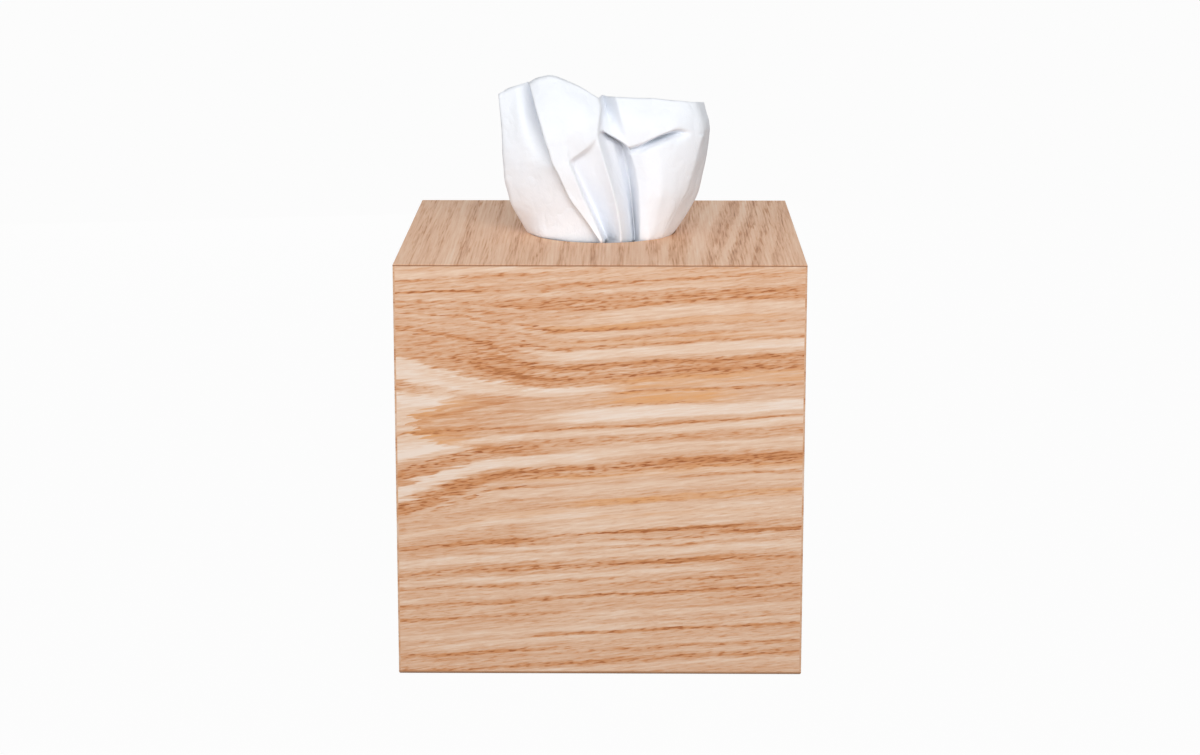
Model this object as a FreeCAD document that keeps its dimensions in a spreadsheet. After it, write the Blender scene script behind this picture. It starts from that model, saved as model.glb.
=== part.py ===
"""Veneered tissue box cover on a cube carton, with a tissue standing in its opening.

Millimetres. +Z is up, -Y is the front, and the origin is the middle of the underside.
The cover is built round the carton: board walls, face veneers outside, backing veneers inside.
"""
import FreeCAD, Part
import os
import re
import Sketcher

# Driving sizes

SIZES = {
    # the carton that the cover is made for
    "carton_width": 111.0,
    "carton_depth": 111.0,
    "carton_height": 124.0,
    "board_thickness": 0.6,
    "carton_corner": 1.2,
    "mouth_length": 78.0,
    "mouth_width": 46.0,
    "film_thickness": 0.3,
    "film_overlap": 9.0,
    "stack_height": 50.0,
    "stack_clearance": 2.9,
    "stack_corner": 4.0,
    # the cover round it
    "side_clearance": 3.3,
    "head_clearance": 5.3,
    "core_thickness": 6.0,
    "veneer_thickness": 0.6,
    "lining_thickness": 0.6,
    "rebate_depth": 3.0,
    "lipping_height": 1.0,
    "rim_easing": 0.8,
    "edge_easing": 0.25,
    "opening_diameter": 50.0,
    "band_thickness": 0.6,
    "pin_diameter": 1.2,
    "pin_length": 14.0,
    "corner_pin_spacing": 42.0,
    "top_pin_spacing": 60.0,
    # the tissue that stands in the opening
    "tuft_width": 74.0,
    "tuft_depth": 40.0,
    "hem_height": 44.0,
    "peak_height": 53.4,
    "rim_clearance": 0.4,
    "neck_margin": 4.0,
    "neck_depth": 15.0,
    "slit_clearance": 0.6,
    "tail_gap": 0.4,
}

# Sizes that follow from the driving ones, each as a formula of other names

DERIVED = {
    "wall": "veneer_thickness + core_thickness + lining_thickness",
    "half_width": "carton_width / 2 + side_clearance + wall",
    "half_depth": "carton_depth / 2 + side_clearance + wall",
    "ceiling": "carton_height + head_clearance",
    "core_underside": "ceiling + lining_thickness",
    "core_top": "core_underside + core_thickness",
    "core_half_width": "half_width - veneer_thickness",
    "core_half_depth": "half_depth - veneer_thickness",
    "hollow_half_width": "core_half_width - core_thickness",
    "hollow_half_depth": "core_half_depth - core_thickness",
    "rebate_half_width": "hollow_half_width + rebate_depth",
    "rebate_half_depth": "hollow_half_depth + rebate_depth",
    "board_edge": "core_thickness / 2",
    "bore_radius": "opening_diameter / 2 + band_thickness",
    "carton_ceiling": "carton_height - board_thickness",
    "film_underside": "carton_ceiling - film_thickness",
    "neck_width": "opening_diameter - 2 * neck_margin",
}

doc = FreeCAD.newDocument("TissueBoxCover")
sheet = doc.addObject("Spreadsheet::Sheet", "Sizes")
for row, (alias, value) in enumerate(SIZES.items(), start=1):
    sheet.set(f"A{row}", alias)
    sheet.set(f"B{row}", str(value))
    sheet.setAlias(f"B{row}", alias)
doc.recompute()

UPWARDS = FreeCAD.Vector(0, 0, 1)
ALONG_X = FreeCAD.Vector(1, 0, 0)
ALONG_Y = FreeCAD.Vector(0, 1, 0)

pieces = []


def formula(text):
    """The sheet expression for a formula written with the names of driving and derived sizes."""

    def spell_out(match):
        name = match.group()
        return f"({formula(DERIVED[name])})" if name in DERIVED else f"Sizes.{name}"

    return re.sub(r"[a-z]+(?:_[a-z]+)*", spell_out, text)


def size(alias):
    """The number that the sheet holds under an alias."""
    return float(sheet.get(alias))


def place(item, at, angle=0):
    """Turns an object about the vertical and binds its place to three formulas."""
    turn = FreeCAD.Rotation(UPWARDS, angle)
    item.Placement = FreeCAD.Placement(FreeCAD.Vector(), turn)
    for axis, text in zip("xyz", at):
        item.setExpression(f"Placement.Base.{axis}", formula(text))


def keep(item):
    """Counts an object among the finished pieces."""
    pieces.append(item)
    return item


# Shapes that several pieces share


def block(label, x, y, z):
    """A box between a low and a high formula on each axis."""
    item = doc.addObject("Part::Box", label)
    for edge, (low, high) in zip(("Length", "Width", "Height"), (x, y, z)):
        item.setExpression(edge, formula(f"{high} - ({low})"))
    place(item, (x[0], y[0], z[0]))
    return item


def rod(label, radius, length, at, direction):
    """A cylinder that starts at a point and runs along an axis."""
    item = doc.addObject("Part::Cylinder", label)
    item.setExpression("Radius", formula(radius))
    item.setExpression("Height", formula(length))
    place(item, at)
    item.Placement.Rotation = FreeCAD.Rotation(UPWARDS, direction)
    return item


def joined(label, items):
    """One tool or blank made of several shapes."""
    item = doc.addObject("Part::MultiFuse", label)
    item.Shapes = items
    return item


def cut(label, blank, tools):
    """A finished piece: a blank less its tools."""
    item = doc.addObject("Part::Cut", label)
    item.Base = blank
    item.Tool = joined(f"{label}_cutters", tools) if len(tools) > 1 else tools[0]
    return keep(item)


def stadium(label, length, width, z):
    """An upright slot shape: a box with a half-round at each end."""
    straight = f"({length} - ({width})) / 2"
    radius = f"({width}) / 2"
    parts = [block(f"{label}_middle", (f"-{straight}", straight), (f"-{radius}", radius), z)]
    for end, sign in (("left", "-"), ("right", "")):
        at = (f"{sign}{straight}", "0", z[0])
        parts.append(rod(f"{label}_{end}", radius, f"{z[1]} - ({z[0]})", at, UPWARDS))
    return joined(label, parts)


def floor_sketch(body):
    """An empty sketch on a body's horizontal plane."""
    sketch = body.newObject("Sketcher::SketchObject", f"{body.Name}_sketch")
    plane = next(item for item in body.Origin.OriginFeatures if item.Role == "XY_Plane")
    sketch.AttachmentSupport = [(plane, "")]
    sketch.MapMode = "FlatFace"
    return sketch


def bind(sketch, constraint, text):
    """Adds a dimension to a sketch and ties it to a formula."""
    index = sketch.addConstraint(constraint)
    sketch.setExpression(f"Constraints[{index}]", formula(text))


def closed_lines(sketch, points):
    """Draws a closed outline through points and joins its corners."""
    count = len(points)
    for number, point in enumerate(points):
        line = Part.LineSegment(FreeCAD.Vector(*point), FreeCAD.Vector(*points[(number + 1) % count]))
        sketch.addGeometry(line, False)
    for number in range(count):
        sketch.addConstraint(Sketcher.Constraint("Coincident", number, 2, (number + 1) % count, 1))


def rectangle(sketch, length, width):
    """A rectangle about the sketch's origin."""
    closed_lines(sketch, [(-2, -1), (2, -1), (2, 1), (-2, 1)])
    for kind, lines in (("Horizontal", (0, 2)), ("Vertical", (1, 3))):
        for line in lines:
            sketch.addConstraint(Sketcher.Constraint(kind, line))
    sketch.addConstraint(Sketcher.Constraint("Symmetric", 0, 1, 1, 2, -1, 1))
    bind(sketch, Sketcher.Constraint("DistanceX", 0, 1, 0, 2, 4.0), length)
    bind(sketch, Sketcher.Constraint("DistanceY", 1, 1, 1, 2, 2.0), width)


def circle(sketch, diameter):
    """A circle about the sketch's origin."""
    ring = sketch.addGeometry(Part.Circle(FreeCAD.Vector(), UPWARDS, 0.5), False)
    sketch.addConstraint(Sketcher.Constraint("Coincident", ring, 3, -1, 1))
    bind(sketch, Sketcher.Constraint("Diameter", ring, 1.0), diameter)


def mitred_strip(sketch, length, width):
    """A strip along X with its long side on the axis and both ends cut at 45 degrees."""
    closed_lines(sketch, [(-3, 0), (3, 0), (2, 1), (-2, 1)])
    for line in (0, 2):
        sketch.addConstraint(Sketcher.Constraint("Symmetric", line, 1, line, 2, -2))
    sketch.addConstraint(Sketcher.Constraint("PointOnObject", 0, 1, -1))
    bind(sketch, Sketcher.Constraint("DistanceX", 0, 1, 0, 2, 6.0), length)
    bind(sketch, Sketcher.Constraint("DistanceX", 2, 2, 2, 1, 4.0), f"{length} - 2 * ({width})")
    bind(sketch, Sketcher.Constraint("DistanceY", 0, 2, 2, 1, 1.0), width)


def padded(label, outlines, height, at, angle=0):
    """A body padded upwards from a floor sketch; outlines are pairs of a drawing function and its sizes."""
    body = doc.addObject("PartDesign::Body", label)
    sketch = floor_sketch(body)
    for draw, sizes in outlines:
        draw(sketch, *sizes)
    pad = body.newObject("PartDesign::Pad", f"{label}_pad")
    pad.Profile = sketch
    pad.setExpression("Length", formula(height))
    place(body, at, angle)
    return body


def slab(label, length, width, height, at, angle=0):
    """A plain rectangular body, centred over its place."""
    return padded(label, [(rectangle, (length, width))], height, at, angle)


def rounded(body, wanted, radius):
    """Rounds the edges of a body that a test picks, in the body's own frame."""
    doc.recompute()
    pad = body.Tip
    numbered = enumerate(pad.Shape.Edges, start=1)
    names = [f"Edge{number}" for number, edge in numbered if wanted(edge, pad.Shape)]
    fillet = body.newObject("PartDesign::Fillet", f"{body.Name}_easing")
    fillet.Base = (pad, names)
    fillet.setExpression("Radius", formula(radius))
    return body


def is_upright(edge, shape):
    """True for an edge that runs up the full height."""
    return edge.BoundBox.ZLength > shape.BoundBox.ZLength / 2


def is_outer_upright(edge, shape):
    """True for an upright edge on the face towards -Y."""
    return is_upright(edge, shape) and edge.BoundBox.YMax < shape.BoundBox.Center.y


def is_on_top(edge, shape):
    """True for an edge that lies in the upper face."""
    return edge.BoundBox.ZMin > shape.BoundBox.Center.z


def is_outer_bottom(edge, shape):
    """True for the lower edge of the face towards -Y."""
    return edge.BoundBox.ZMax < shape.BoundBox.Center.z and edge.BoundBox.YMax < shape.BoundBox.Center.y


# The carton, its film and the tissues left in it

carton_blank = slab("carton_blank", "carton_width", "carton_depth", "carton_height", ("0", "0", "0"))
rounded(carton_blank, is_upright, "carton_corner")
carton_hollow = block(
    "carton_hollow",
    ("-(carton_width / 2 - board_thickness)", "carton_width / 2 - board_thickness"),
    ("-(carton_depth / 2 - board_thickness)", "carton_depth / 2 - board_thickness"),
    ("board_thickness", "carton_ceiling"),
)
carton_mouth = stadium("carton_mouth", "mouth_length", "mouth_width", ("carton_ceiling", "carton_height"))
cut("carton", carton_blank, [carton_hollow, carton_mouth])

film_sheet = slab(
    "film_sheet",
    "mouth_length + 2 * film_overlap",
    "mouth_width + 2 * film_overlap",
    "film_thickness",
    ("0", "0", "film_underside"),
)
film_slit = stadium(
    "film_slit",
    "neck_width + 2 * slit_clearance",
    "neck_depth + 2 * slit_clearance",
    ("film_underside", "carton_ceiling"),
)
slit_film = cut("slit_film", film_sheet, [film_slit])

tissue_stack = slab(
    "tissue_stack",
    "carton_width - 2 * (board_thickness + stack_clearance)",
    "carton_depth - 2 * (board_thickness + stack_clearance)",
    "stack_height",
    ("0", "0", "board_thickness"),
)
keep(rounded(tissue_stack, is_upright, "stack_corner"))

# Panel pins: along X in the corner joints, along X and Y into the top's edge

PIN_STARTS = {"low": "-core_half_{}", "high": "core_half_{} - pin_length"}
PIN_ROWS = ("-corner_pin_spacing", "0", "corner_pin_spacing")

corner_pin_list = []
for end, start in PIN_STARTS.items():
    for side, sign in (("front", "-"), ("back", "")):
        for row, rise in enumerate(PIN_ROWS, start=1):
            at = (
                start.format("width"),
                f"{sign}(core_half_depth - board_edge)",
                f"(lipping_height + core_underside) / 2 + {rise}",
            )
            name = f"corner_pin_{end}_{side}_{row}"
            corner_pin_list.append(rod(name, "pin_diameter / 2", "pin_length", at, ALONG_X))
corner_pins = doc.addObject("Part::Compound", "corner_pins")
corner_pins.Links = corner_pin_list
keep(corner_pins)

top_pin_list = []
for end, start in PIN_STARTS.items():
    for place_name, offset in (("near", "-top_pin_spacing / 2"), ("far", "top_pin_spacing / 2")):
        middle = "core_top - board_edge"
        across = rod(
            f"top_pin_x_{end}_{place_name}",
            "pin_diameter / 2",
            "pin_length",
            (start.format("width"), offset, middle),
            ALONG_X,
        )
        along = rod(
            f"top_pin_y_{end}_{place_name}",
            "pin_diameter / 2",
            "pin_length",
            (offset, start.format("depth"), middle),
            ALONG_Y,
        )
        top_pin_list += [across, along]
top_pins = doc.addObject("Part::Compound", "top_pins")
top_pins.Links = top_pin_list
keep(top_pins)

# Board cores: the front and back enter the sides, and the top enters all four

CORE_RISE = ("lipping_height", "core_top")
top_blank = block(
    "top_blank",
    ("-rebate_half_width", "rebate_half_width"),
    ("-rebate_half_depth", "rebate_half_depth"),
    ("core_underside", "core_top"),
)
across_blanks = []
for side, low, high in (
    ("front", "-core_half_depth", "-hollow_half_depth"),
    ("back", "hollow_half_depth", "core_half_depth"),
):
    blank = block(f"{side}_blank", ("-rebate_half_width", "rebate_half_width"), (low, high), CORE_RISE)
    across_blanks.append(blank)
    cut(f"{side}_core", blank, [top_blank, corner_pins, top_pins])
for side, low, high in (
    ("left", "-core_half_width", "-hollow_half_width"),
    ("right", "hollow_half_width", "core_half_width"),
):
    blank = block(f"{side}_blank", (low, high), ("-core_half_depth", "core_half_depth"), CORE_RISE)
    cut(f"{side}_core", blank, [*across_blanks, top_blank, corner_pins, top_pins])

opening_bore = rod(
    "opening_bore",
    "bore_radius",
    "core_thickness",
    ("0", "0", "core_underside"),
    UPWARDS,
)
cut("top_core", top_blank, [opening_bore, top_pins])

# Face veneers: the sides cover the front's and back's edges, and the top covers them all

VENEER_RISE = "core_top - lipping_height"
SIDES = {
    "front": {"angle": 0, "along": "width", "across": "depth", "sign": "-", "axis": 1},
    "right": {"angle": 90, "along": "depth", "across": "width", "sign": "", "axis": 0},
    "back": {"angle": 180, "along": "width", "across": "depth", "sign": "", "axis": 1},
    "left": {"angle": 270, "along": "depth", "across": "width", "sign": "-", "axis": 0},
}


def beside(side, distance, level):
    """The place of a wall's layer, at a distance from the middle and a level above the table."""
    at = ["0", "0", level]
    at[SIDES[side]["axis"]] = f"{SIDES[side]['sign']}({distance})"
    return at


for side, wall in SIDES.items():
    is_side = side in ("left", "right")
    reach = f"half_{wall['along']}" if is_side else f"core_half_{wall['along']}"
    veneer = slab(
        f"{side}_veneer",
        f"2 * ({reach})",
        "veneer_thickness",
        VENEER_RISE,
        beside(side, f"half_{wall['across']} - veneer_thickness / 2", "lipping_height"),
        wall["angle"],
    )
    if is_side:
        rounded(veneer, is_outer_upright, "edge_easing")
    keep(veneer)

top_veneer = padded(
    "top_veneer",
    [(rectangle, ("2 * half_width", "2 * half_depth")), (circle, ("opening_diameter",))],
    "veneer_thickness",
    ("0", "0", "core_top"),
)
keep(rounded(top_veneer, is_on_top, "edge_easing"))

# Backing veneers inside, and the band that lines the opening

top_lining = padded(
    "top_lining",
    [(rectangle, ("2 * hollow_half_width", "2 * hollow_half_depth")), (circle, ("2 * bore_radius",))],
    "lining_thickness",
    ("0", "0", "ceiling"),
)
keep(top_lining)

for side, wall in SIDES.items():
    shortfall = "2 * lining_thickness" if side in ("left", "right") else "0"
    lining = slab(
        f"{side}_lining",
        f"2 * hollow_half_{wall['along']} - {shortfall}",
        "lining_thickness",
        "ceiling - lipping_height",
        beside(side, f"hollow_half_{wall['across']} - lining_thickness / 2", "lipping_height"),
        wall["angle"],
    )
    keep(lining)

opening_band = padded(
    "opening_band",
    [(circle, ("2 * bore_radius",)), (circle, ("opening_diameter",))],
    "core_top - ceiling",
    ("0", "0", "ceiling"),
)
keep(opening_band)

# Lippings: mitred strips under the walls, eased along their outer lower edge

for side, wall in SIDES.items():
    lipping = padded(
        f"{side}_lipping",
        [(mitred_strip, (f"2 * half_{wall['along']}", "wall"))],
        "lipping_height",
        beside(side, f"half_{wall['across']}", "0"),
        wall["angle"],
    )
    keep(rounded(lipping, is_outer_bottom, "rim_easing"))

doc.recompute()

# The tissue: fold lines from the tail in the carton up to the free hem, in order round the sheet.
# Each section lists the lines' places as shares of that section's half width and half depth.

FOLD_LINES = (
    "left_edge", "left_lobe", "left_valley", "pleat", "strip", "ridge", "deep_valley", "right_facet",
    "right_crease", "right_edge", "back_right", "right_furrow", "back_middle", "left_furrow", "back_left",
)
NECK_SECTION = (
    (-1.00, 0.00), (-0.75, -0.75), (-0.50, -0.35), (-0.30, -0.97), (-0.08, -0.40),
    (0.15, -0.97), (0.38, -0.35), (0.60, -0.90), (0.85, -0.55), (1.00, 0.00),
    (0.75, 0.75), (0.42, 0.30), (0.00, 0.95), (-0.42, 0.30), (-0.75, 0.75),
)
RIM_SECTION = (
    (-0.98, -0.17), (-0.65, -0.73), (-0.12, -0.85), (0.00, -0.99), (0.12, -0.87),
    (0.27, -0.95), (0.51, -0.69), (0.65, -0.74), (0.88, -0.43), (0.99, -0.08),
    (0.73, 0.28), (0.37, 0.20), (0.04, 0.41), (-0.33, 0.20), (-0.73, 0.28),
)
TUFT_SECTIONS = {
    0.23: (
        (-0.86, 0.00), (-0.62, -0.75), (-0.35, -0.80), (-0.30, -1.05), (-0.15, -0.85),
        (0.12, -1.00), (0.32, -0.45), (0.51, -0.85), (0.73, -0.55), (0.88, 0.00),
        (0.62, 0.50), (0.30, 0.30), (0.03, 0.65), (-0.27, 0.30), (-0.62, 0.50),
    ),
    0.47: (
        (-0.91, 0.05), (-0.68, -0.65), (-0.50, -0.55), (-0.43, -0.95), (-0.27, -0.75),
        (0.06, -0.85), (0.30, -0.20), (0.49, -0.75), (0.84, -0.45), (0.97, 0.05),
        (0.68, 0.60), (0.32, 0.33), (0.00, 0.75), (-0.30, 0.35), (-0.68, 0.60),
    ),
    0.73: (
        (-0.95, 0.10), (-0.76, -0.50), (-0.65, -0.20), (-0.54, -0.70), (-0.30, -0.85),
        (-0.05, -0.60), (0.10, -0.10), (0.32, -0.60), (0.81, -0.35), (1.01, 0.10),
        (0.70, 0.60), (0.32, 0.35), (0.00, 0.75), (-0.32, 0.35), (-0.70, 0.60),
    ),
    1.00: (
        (-0.96, 0.15), (-0.82, -0.20), (-0.69, 0.03), (-0.62, -0.35), (-0.32, -0.42),
        (-0.05, -0.20), (0.05, 0.08), (0.32, -0.25), (0.70, -0.20), (0.96, 0.12),
        (0.65, 0.40), (0.32, 0.25), (-0.03, 0.45), (-0.32, 0.25), (-0.70, 0.40),
    ),
}
HOOD_LINES = (
    "left_edge", "left_lobe", "left_valley", "pleat", "strip", "ridge",
    "back_middle", "left_furrow", "back_left",
)
HOOD_SECTION = (
    (-0.81, 0.05), (-0.75, -0.04), (-0.68, -0.01), (-0.58, -0.07), (-0.44, -0.08),
    (-0.27, -0.04), (-0.27, 0.06), (-0.48, 0.08), (-0.70, 0.08),
)


def section(shares, half_width, half_depth, level):
    """A closed outline through the fold lines' places at one level."""
    points = [FreeCAD.Vector(x * half_width, y * half_depth, level) for x, y in shares]
    return Part.makePolygon([*points, points[0]])


def gathered_tissue():
    """The tissue as one solid: a straight neck, the spread tuft and the folded-over hood on its left."""
    top_face = top_veneer.Shape.BoundBox.ZMax
    tail = tissue_stack.Shape.BoundBox.ZMax + size("tail_gap")
    grip = slit_film.Shape.BoundBox.ZMax + size("slit_clearance")
    neck = (size("opening_diameter") / 2 - size("neck_margin"), size("neck_depth") / 2)
    rim = size("opening_diameter") / 2 - size("rim_clearance")
    tuft = (size("tuft_width") / 2, size("tuft_depth") / 2)
    hem = top_face + size("hem_height")
    outlines = [
        section(NECK_SECTION, *neck, tail),
        section(NECK_SECTION, *neck, grip),
        section(RIM_SECTION, rim, rim, top_face),
    ]
    for share, shares in TUFT_SECTIONS.items():
        outlines.append(section(shares, *tuft, top_face + share * size("hem_height")))
    body = Part.makeLoft(outlines, True, True)
    hem_shares = dict(zip(FOLD_LINES, TUFT_SECTIONS[1.00]))
    hood_foot = section([hem_shares[line] for line in HOOD_LINES], *tuft, hem)
    hood_ridge = section(HOOD_SECTION, *tuft, top_face + size("peak_height"))
    hood = Part.makeLoft([hood_foot, hood_ridge], True, True)
    return body.fuse(hood)


pop_up_tissue = doc.addObject("Part::Feature", "pop_up_tissue")
pop_up_tissue.Shape = gathered_tissue()
pop_up_tissue.Placement = FreeCAD.Placement()
keep(pop_up_tissue)

doc.recompute()

# Every object has to be sound before a file is written

for item in doc.Objects:
    if "Invalid" in item.State or "Error" in item.State:
        raise RuntimeError(f"{item.Label} did not build: {item.State}")
for piece in pieces:
    if piece.Shape.isNull() or not piece.Shape.isValid() or not piece.Shape.Solids:
        raise RuntimeError(f"{piece.Label} is not a sound solid")

os.makedirs("parts", exist_ok=True)
for piece in pieces:
    piece.Shape.exportStep(f"parts/{piece.Label}.step")
    print(f"{piece.Label}: {len(piece.Shape.Solids)} solid, {piece.Shape.Volume:.1f} mm3")
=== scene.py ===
"""Looks of the tissue box cover: a veneered box over a carton, with a tissue standing in its opening.

Metres, in the part's own frame: +Z is up, -Y is the front and the origin is the middle of the underside.
"""
import logging
import math
from dataclasses import dataclass, replace
from enum import Enum
from typing import Any

import bmesh
import bpy
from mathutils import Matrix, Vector, noise


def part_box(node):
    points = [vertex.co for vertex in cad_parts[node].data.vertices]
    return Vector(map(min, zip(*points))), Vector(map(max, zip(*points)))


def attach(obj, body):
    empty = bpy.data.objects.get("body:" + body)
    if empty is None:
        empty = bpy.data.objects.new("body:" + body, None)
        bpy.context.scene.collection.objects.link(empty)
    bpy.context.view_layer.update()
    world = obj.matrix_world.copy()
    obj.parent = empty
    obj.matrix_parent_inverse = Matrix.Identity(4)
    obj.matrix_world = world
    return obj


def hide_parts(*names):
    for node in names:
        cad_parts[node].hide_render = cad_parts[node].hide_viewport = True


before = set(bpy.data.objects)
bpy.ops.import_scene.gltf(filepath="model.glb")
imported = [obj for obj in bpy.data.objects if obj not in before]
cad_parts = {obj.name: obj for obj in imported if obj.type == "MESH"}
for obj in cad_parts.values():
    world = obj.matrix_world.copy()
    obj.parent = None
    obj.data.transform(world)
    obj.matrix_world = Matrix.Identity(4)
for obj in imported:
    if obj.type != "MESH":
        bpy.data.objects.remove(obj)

log = logging.getLogger("tissue_box_cover")

MM = 0.001
NOISE_SEED = 7
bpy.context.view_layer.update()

Number = int | float
Colour = tuple[float, float, float, float]
Place = tuple[float, float, float]

WHITE: Colour = (1.0, 1.0, 1.0, 1.0)
SMOOTH_STEP = {"interpolation_type": "SMOOTHSTEP", "clamp": False}


def shade(red: int, green: int, blue: int) -> Colour:
    """Turns a display colour into the linear colour that a shader takes.

    Args:
        red: Red from 0 to 255.
        green: Green from 0 to 255.
        blue: Blue from 0 to 255.

    Returns:
        The linear colour with an alpha of one.
    """
    linear = []
    for part in (red, green, blue):
        level = part / 255
        linear.append(level / 12.92 if level <= 0.04045 else ((level + 0.055) / 1.055) ** 2.4)
    return (linear[0], linear[1], linear[2], 1.0)


class Value:
    """A shader socket; Python operators on it add Math nodes."""

    def __init__(self, graph: "Graph", socket: bpy.types.NodeSocket) -> None:
        """Keeps the node tree and the socket."""
        self.graph = graph
        self.socket = socket

    def math(self, operation: str, *operands: "Value | Number") -> "Value":
        """Adds one Math node.

        Args:
            operation: The Math node's operation.
            operands: Its inputs in order.

        Returns:
            The node's result.
        """
        return self.graph.value("ShaderNodeMath", {"operation": operation}, dict(enumerate(operands)))

    def __add__(self, other: "Value | Number") -> "Value":
        """Sum."""
        return self.math("ADD", self, other)

    def __radd__(self, other: Number) -> "Value":
        """Sum with a number first."""
        return self.math("ADD", other, self)

    def __sub__(self, other: "Value | Number") -> "Value":
        """Difference."""
        return self.math("SUBTRACT", self, other)

    def __rsub__(self, other: Number) -> "Value":
        """Difference with a number first."""
        return self.math("SUBTRACT", other, self)

    def __mul__(self, other: "Value | Number") -> "Value":
        """Product."""
        return self.math("MULTIPLY", self, other)

    def __rmul__(self, other: Number) -> "Value":
        """Product with a number first."""
        return self.math("MULTIPLY", other, self)

    def __truediv__(self, other: "Value | Number") -> "Value":
        """Quotient."""
        return self.math("DIVIDE", self, other)

    def __abs__(self) -> "Value":
        """Size without the sign."""
        return self.math("ABSOLUTE", self)

    def over(self, limit: Number) -> "Value":
        """One where the value passes a limit, and zero elsewhere."""
        return self.math("GREATER_THAN", self, limit)

    def at_least(self, low: "Value | Number") -> "Value":
        """The value, or a lower bound where it is smaller."""
        return self.math("MAXIMUM", self, low)

    def at_most(self, high: "Value | Number") -> "Value":
        """The value, or an upper bound where it is larger."""
        return self.math("MINIMUM", self, high)

    def power(self, exponent: Number) -> "Value":
        """The value raised to a power."""
        return self.math("POWER", self, exponent)

    def rise(self, low: Number, high: Number, start: Number = 0.0, end: Number = 1.0) -> "Value":
        """A smooth step from one result, up to a low value, to another, from a high value on."""
        inputs = {"Value": self, "From Min": low, "From Max": high, "To Min": start, "To Max": end}
        return self.graph.value("ShaderNodeMapRange", SMOOTH_STEP, inputs)


class Graph:
    """The node tree of one material or world."""

    def __init__(self, owner: bpy.types.Material | bpy.types.World) -> None:
        """Empties a node tree.

        Args:
            owner: The material or world that has it.
        """
        owner.use_nodes = True
        self.owner = owner
        self.tree = owner.node_tree
        self.tree.nodes.clear()

    @classmethod
    def of_material(cls, name: str) -> "Graph":
        """Starts the tree of a new material."""
        return cls(bpy.data.materials.new(name))

    def node(
        self, kind: str, settings: dict[str, Any] | None = None, inputs: dict[Any, Any] | None = None
    ) -> bpy.types.Node:
        """Adds a node.

        Args:
            kind: The node's type.
            settings: Properties to set first; "stops" holds a ramp's places and colours.
            inputs: Socket names or numbers with a value, or a link.

        Returns:
            The new node.
        """
        node = self.tree.nodes.new(kind)
        for name, setting in (settings or {}).items():
            if name == "stops":
                self._set_stops(node.color_ramp.elements, setting)
            else:
                setattr(node, name, setting)
        for key, given in (inputs or {}).items():
            if isinstance(given, Value):
                self.tree.links.new(given.socket, node.inputs[key])
            else:
                node.inputs[key].default_value = given
        return node

    def value(
        self,
        kind: str,
        settings: dict[str, Any] | None = None,
        inputs: dict[Any, Any] | None = None,
        output: int | str = 0,
    ) -> Value:
        """Adds a node and returns one of its outputs."""
        return Value(self, self.node(kind, settings, inputs).outputs[output])

    @staticmethod
    def _set_stops(elements: bpy.types.ColorRampElements, stops: list[tuple[float, Colour]]) -> None:
        """Fills a colour ramp.

        Args:
            elements: The ramp's elements.
            stops: Places and colours, in rising order.
        """
        while len(elements) < len(stops):
            elements.new(1.0)
        for element, (place, colour) in zip(elements, stops):
            element.position = place
            element.color = colour

    def split(self, vector: Value) -> tuple[Value, Value, Value]:
        """The three parts of a vector."""
        parts = self.node("ShaderNodeSeparateXYZ", inputs={"Vector": vector})
        return tuple(Value(self, parts.outputs[axis]) for axis in "XYZ")

    def place(self) -> tuple[Value, Value, Value]:
        """The surface point's X, Y and Z in millimetres."""
        point = self.split(self.value("ShaderNodeTexCoord", output="Object"))
        return tuple(part / MM for part in point)

    def vector(self, x: Value | Number, y: Value | Number, z: Value | Number) -> Value:
        """Joins three values into a vector."""
        return self.value("ShaderNodeCombineXYZ", inputs={"X": x, "Y": y, "Z": z})

    def cells(self, *sizes: float) -> Value:
        """The surface point, counted in cells whose sizes on X, Y and Z are in millimetres."""
        return self.vector(*(part / size for part, size in zip(self.place(), sizes)))

    def noise(self, where: Value, detail: float = 2.0, roughness: float = 0.5) -> Value:
        """Soft noise about a middle of zero, at one unit to a cell."""
        inputs = {"Vector": where, "Scale": 1.0, "Detail": detail, "Roughness": roughness}
        return self.value("ShaderNodeTexNoise", {"noise_dimensions": "3D"}, inputs) - 0.5

    def blend(self, first: Value | Colour, second: Value | Colour, share: Value | Number) -> Value:
        """Mixes two colours."""
        settings = {"data_type": "RGBA", "clamp_factor": True}
        return self.value("ShaderNodeMix", settings, {0: share, 6: first, 7: second}, output=2)

    def ramp(self, share: Value, stops: list[tuple[float, Colour]]) -> Value:
        """Looks a colour up on a ramp."""
        return self.value("ShaderNodeValToRGB", {"stops": stops}, {"Fac": share})

    def finish(
        self, surface: dict[str, Any], height: Value | None = None, depth: float = 0.0
    ) -> bpy.types.Material:
        """Ends the tree in one Principled shader.

        Args:
            surface: The shader's sockets.
            height: Relief for a Bump node, from zero to one.
            depth: The relief's depth in metres.

        Returns:
            The material.
        """
        if height is not None:
            bump = {"Height": height, "Distance": depth, "Strength": 1.0}
            surface = {**surface, "Normal": self.value("ShaderNodeBump", inputs=bump)}
        shader = self.value("ShaderNodeBsdfPrincipled", inputs=surface)
        self.node("ShaderNodeOutputMaterial", inputs={"Surface": shader})
        return self.owner


def weighted(parts: dict[str, Value], base: float, **weights: float) -> Value:
    """Adds up the parts of a finish.

    Args:
        parts: The parts by name.
        base: What is there without them.
        weights: How much of each part to add, by its name.

    Returns:
        The sum.
    """
    total: Value | float = base
    for name, weight in weights.items():
        total = total + parts[name] * weight
    return total


class Face(Enum):
    """A face of the cover, with the axis and sign of its grain, and those of the way across it."""

    FRONT = ((0, 1), (2, -1))
    BACK = ((0, -1), (2, -1))
    LEFT = ((1, -1), (2, -1))
    RIGHT = ((1, 1), (2, -1))
    TOP = ((1, -1), (0, 1))


class Tint(Enum):
    """What a streak of the veneer does to its colour."""

    BROWN = "brown"
    HONEY = "honey"
    PALE = "pale"


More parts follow.
